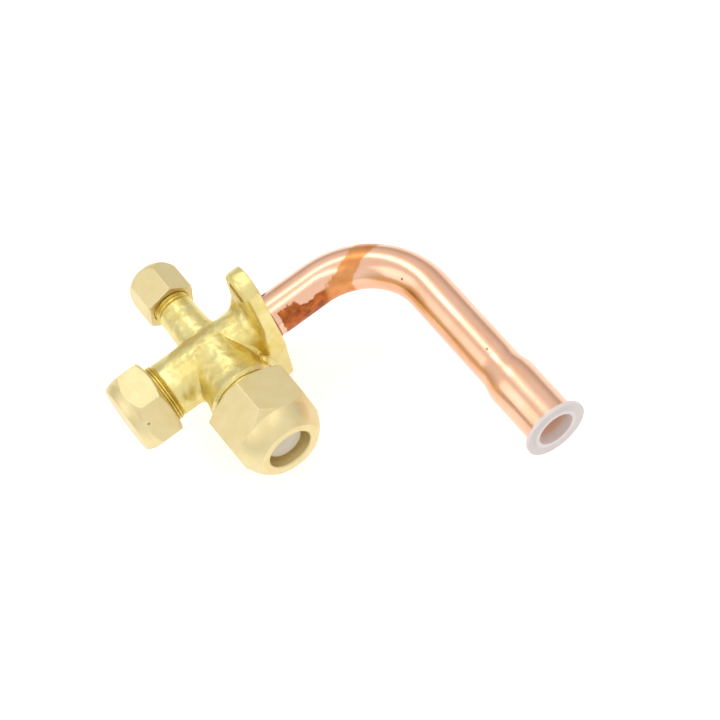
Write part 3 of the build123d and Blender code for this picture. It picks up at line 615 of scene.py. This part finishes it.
def make_copper():
    """Bright tube with the marks of brazing: an orange band, a rusty film, soot and two specks."""
    material, tree, shader = new_finish("copper", 1.0, 0.16, (0.90, 0.52, 0.34))
    coords = add(tree, "ShaderNodeTexCoord")
    split = add(tree, "ShaderNodeSeparateXYZ")
    tree.links.new(coords.outputs["Object"], split.inputs["Vector"])
    x, y, z = split.outputs
    fine, coarse = ragged(tree, coords, 1.6, 3.0), ragged(tree, coords, 5.0, 2.4)

    skin = effect(tree, blotches, scale=90.0, contrast=1.6)
    tone = blend_colour(tree, skin, (0.86, 0.47, 0.29), (0.93, 0.58, 0.41))

    band_start = past_plane(tree, coords, BAND_START)
    band_end = sum_of(tree, past_plane(tree, coords, BAND_END), coarse, "ADD")
    band = sum_of(tree, step_up(tree, sum_of(tree, band_start, fine), 0.8 * MM),
                  step_up(tree, sum_of(tree, 0.0, band_end, "SUBTRACT"), 0.6 * MM), "MULTIPLY")
    uneven = effect(tree, blotches, scale=260.0, contrast=2.4)
    tint = blend_colour(tree, uneven, (0.66, 0.245, 0.075), (0.78, 0.35, 0.13))
    tone = blend_colour(tree, band, tone, tint)

    along = sum_of(tree, x, 1 / (FILM_SPAN * MM), "MULTIPLY")
    edge = add(tree, "ShaderNodeValToRGB")
    tree.links.new(along, edge.inputs["Fac"])
    stops = edge.color_ramp.elements
    while len(stops) < len(FILM_TOP):
        stops.new(0.5)
    for stop, (place, height) in zip(stops, FILM_TOP):
        grey = height / FILM_RISE
        stop.position, stop.color = place / FILM_SPAN, (grey, grey, grey, 1)
    top = sum_of(tree, edge.outputs["Color"], FILM_RISE * MM, "MULTIPLY")
    below = sum_of(tree, sum_of(tree, top, z, "SUBTRACT"), fine)
    front = sum_of(tree, sum_of(tree, FILM_FRONT * MM, y, "SUBTRACT"), fine)
    film = sum_of(tree, step_up(tree, below, 0.35 * MM), step_up(tree, front, 0.6 * MM), "MULTIPLY")
    past_start = sum_of(tree, sum_of(tree, x, FILM_START * MM, "SUBTRACT"), fine)
    film = sum_of(tree, film, step_up(tree, past_start, 0.4 * MM), "MULTIPLY")
    before_end = sum_of(tree, sum_of(tree, FILM_END * MM, x, "SUBTRACT"), coarse)
    film = sum_of(tree, film, step_up(tree, before_end, 2.5 * MM), "MULTIPLY")
    uneven = effect(tree, blotches, scale=420.0, contrast=2.6)
    rust = blend_colour(tree, uneven, (0.26, 0.070, 0.022), (0.60, 0.17, 0.045))
    tone = blend_colour(tree, film, tone, rust)

    spot = add(tree, "ShaderNodeVectorMath", operation="DISTANCE")
    tree.links.new(coords.outputs["Object"], spot.inputs[0])
    spot.inputs[1].default_value = [c * MM for c in SOOT_PLACE]
    near = sum_of(tree, sum_of(tree, SOOT_SIZE * MM, spot.outputs["Value"], "SUBTRACT"), fine)
    soot = step_up(tree, near, 1.0 * MM)
    tone = blend_colour(tree, soot, tone, (0.16, 0.05, 0.04))
    for place in TUBE_SPECKS:
        tone = blend_colour(tree, mark_at(tree, place, SPECK_R), tone, (0.22, 0.09, 0.05))
    tree.links.new(tone, shader.inputs["Base Color"])

    stained = sum_of(tree, film, soot, "MAXIMUM")
    dull = sum_of(tree, stained, sum_of(tree, band, 0.5, "MULTIPLY"), "MAXIMUM")
    rough = blend_number(tree, skin, 0.28, 0.20)
    tree.links.new(sum_of(tree, rough, sum_of(tree, dull, 0.2, "MULTIPLY")), shader.inputs["Roughness"])

    run = sum_of(tree, BELL_START * MM, y, "SUBTRACT")
    soft = step_up(tree, sum_of(tree, run, BELL_BLEND * MM), (BELL_LENGTH + 2 * BELL_BLEND) * MM)
    straight = sum_of(tree, run, 1 / (BELL_LENGTH * MM), "MULTIPLY", clamp=True)
    lift = sum_of(tree, sum_of(tree, soft, straight, "SUBTRACT"), BELL_RISE * MM, "MULTIPLY")
    bump(tree, shader, lift, 1.0)
    return material


copper = make_copper()
dress(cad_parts["copper_tube"], copper)


# ---- braze ---------------------------------------------------------------------------------------
# Phosphor-copper braze metal, run into the mouth of the socket. It is left with the reddish, slightly
# rough skin that it cooled with.
braze = make_plain("braze", (0.50, 0.24, 0.17), (0.30, 0.12, 0.09), 1.0, 0.4, 0.5 * MM, 0.05 * MM)
dress(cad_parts["braze_fillet"], braze)


# ---- tube plug -----------------------------------------------------------------------------------
# A thin flanged cup moulded in clear plastic and pushed into the belled end. Its flange is milky, and
# its cup is painted copper-coloured: a painted reflection of the copper that shows through it.
plug_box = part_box("tube_plug")
PLUG_CUP_R = 6.4 * MM
PLUG_MOUTH_DEPTH = 3.4 * MM     # milky down to here from the outer face


def make_clear_plastic():
    """Milky and nearly clear on the flange and the mouth; down in the cup, a painted copper colour for the
    tube seen through it.
    """
    material, tree, shader = new_finish("clear_plastic", 0.0, 0.3, (0.93, 0.84, 0.81))
    coords = add(tree, "ShaderNodeTexCoord")
    from_axis = add(tree, "ShaderNodeVectorMath", operation="SUBTRACT")
    tree.links.new(coords.outputs["Object"], from_axis.inputs[0])
    from_axis.inputs[1].default_value = ((plug_box[0].x + plug_box[1].x) / 2, 0, 0)
    across = add(tree, "ShaderNodeVectorMath", operation="MULTIPLY")
    tree.links.new(from_axis.outputs[0], across.inputs[0])
    across.inputs[1].default_value = (1, 0, 1)
    radius = add(tree, "ShaderNodeVectorMath", operation="LENGTH")
    tree.links.new(across.outputs[0], radius.inputs[0])
    rim = step_up(tree, sum_of(tree, radius.outputs["Value"], PLUG_CUP_R, "SUBTRACT"), 0.5 * MM)
    place = add(tree, "ShaderNodeSeparateXYZ")
    tree.links.new(coords.outputs["Object"], place.inputs["Vector"])
    mouth = sum_of(tree, plug_box[0].y + PLUG_MOUTH_DEPTH, place.outputs["Y"], "SUBTRACT")
    pale = sum_of(tree, rim, step_up(tree, mouth, 0.8 * MM), "MAXIMUM")
    skin = effect(tree, blotches, scale=200.0, contrast=1.2)
    milky = blend_colour(tree, skin, (0.92, 0.82, 0.79), (0.96, 0.88, 0.85))
    # the cup's copper colour is a painted reflection of the tube behind the plastic, and the cup is opaque
    tree.links.new(blend_colour(tree, pale, (1.0, 0.72, 0.54), milky), shader.inputs["Base Color"])
    tree.links.new(blend_number(tree, rim, 1.0, 0.85), shader.inputs["Alpha"])
    return material


clear_plastic = make_clear_plastic()
dress(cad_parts["tube_plug"], clear_plastic)


# ---- floor, light and camera ---------------------------------------------------------------------
# A plain white floor just under the lower ear, a bright room whose walls are lightest in front, and
# three soft lamps. The camera sees pure white all round.
FLOOR_SIZE, FLOOR_GLOW = 6.0, 0.45
NEAR_REACH, NEAR_FADE = 0.1, 0.3        # m, out to where the floor glows in reflections
WHITE, LOW_WALL, HIGH_WALL, BOUNCE = (1.0,) * 3, (0.45,) * 3, (0.88,) * 3, (0.70,) * 3
FRONT_FROM, FRONT_FADE = -0.25, 0.6     # of the direction's y, where the walls turn white
bpy.ops.object.select_all(action="DESELECT")
bpy.ops.mesh.primitive_plane_add(size=FLOOR_SIZE, location=(0, 0, cad_box[0][2]))
floor = bpy.context.active_object
floor.name = "floor"
bpy.ops.object.transform_apply(location=True, rotation=True, scale=True)


def make_floor_white():
    """White that glows for the camera and, near the part, for reflections in the metal."""
    material, tree, shader = new_finish("floor_white", 0.0, 0.9, (0.9, 0.9, 0.9))
    shader.inputs["Specular IOR Level"].default_value = 0.0
    path = add(tree, "ShaderNodeLightPath")
    coords = add(tree, "ShaderNodeTexCoord")
    reach = add(tree, "ShaderNodeVectorMath", operation="LENGTH")
    tree.links.new(coords.outputs["Object"], reach.inputs[0])
    far = step_up(tree, sum_of(tree, reach.outputs["Value"], NEAR_REACH, "SUBTRACT"), NEAR_FADE)
    near = sum_of(tree, 1.0, far, "SUBTRACT")
    reflected = sum_of(tree, path.outputs["Is Glossy Ray"], path.outputs["Is Transmission Ray"], "MAXIMUM")
    reflected = sum_of(tree, reflected, near, "MULTIPLY")
    seen = sum_of(tree, path.outputs["Is Camera Ray"], reflected, "MAXIMUM")
    shader.inputs["Emission Color"].default_value = (*WHITE, 1)
    tree.links.new(sum_of(tree, seen, FLOOR_GLOW, "MULTIPLY"), shader.inputs["Emission Strength"])
    return material


dress(floor, make_floor_white())

world = bpy.data.worlds.new("room")
bpy.context.scene.world = world
world.use_nodes = True
room = world.node_tree
sky = room.nodes["Background"]
direction = add(room, "ShaderNodeTexCoord")
split = add(room, "ShaderNodeSeparateXYZ")
room.links.new(direction.outputs["Generated"], split.inputs["Vector"])
ramp = add(room, "ShaderNodeValToRGB")
stops = ramp.color_ramp
stops.elements[0].position, stops.elements[0].color = 0.0, (*LOW_WALL, 1)
stops.elements[1].position, stops.elements[1].color = 0.5, (*HIGH_WALL, 1)
room.links.new(split.outputs["Z"], ramp.inputs["Fac"])
path = add(room, "ShaderNodeLightPath")
in_front = step_up(room, sum_of(room, FRONT_FROM, split.outputs["Y"], "SUBTRACT"), FRONT_FADE)
walls = blend_colour(room, in_front, ramp.outputs["Color"], WHITE)
backdrop = blend_colour(room, path.outputs["Is Camera Ray"], walls, WHITE)
light = blend_colour(room, path.outputs["Is Diffuse Ray"], backdrop, BOUNCE)
room.links.new(light, sky.inputs["Color"])


def add_lamp(name, place, aim, size, power):
    """A rectangular lamp of power watts at place, pointing at aim."""
    bpy.ops.object.light_add(type="AREA", location=place)
    lamp = bpy.context.active_object
    lamp.name = name
    lamp.data.shape, lamp.data.size, lamp.data.size_y = "RECTANGLE", *size
    lamp.data.energy = power
    lamp.rotation_euler = (Vector(aim) - Vector(place)).to_track_quat("-Z", "Y").to_euler()


add_lamp("overhead_strip_lamp", (0.10, -0.075, 0.60), (0.01, -0.002, 0), (0.60, 0.06), 0.40)
add_lamp("back_soft_lamp", (0.10, 0.30, 0.52), (0.04, -0.05, 0), (0.24, 0.16), 0.34)
add_lamp("left_soft_lamp", (-0.60, 0.10, 0.45), (-0.01, 0, 0), (0.60, 0.60), 0.9)

CAMERA_PLACE = (-96.458 * MM, -380.699 * MM, 611.628 * MM)
CAMERA_TURN = (radians(29.3437), radians(10.7715), radians(-35.5697))
bpy.ops.object.camera_add(location=CAMERA_PLACE, rotation=CAMERA_TURN)
camera = bpy.context.active_object
camera.data.lens, camera.data.sensor_width = 130.0, 36.0
camera.data.clip_start, camera.data.clip_end = 0.01, 20.0
bpy.context.scene.camera = camera
bpy.context.scene.view_settings.view_transform = "Standard"
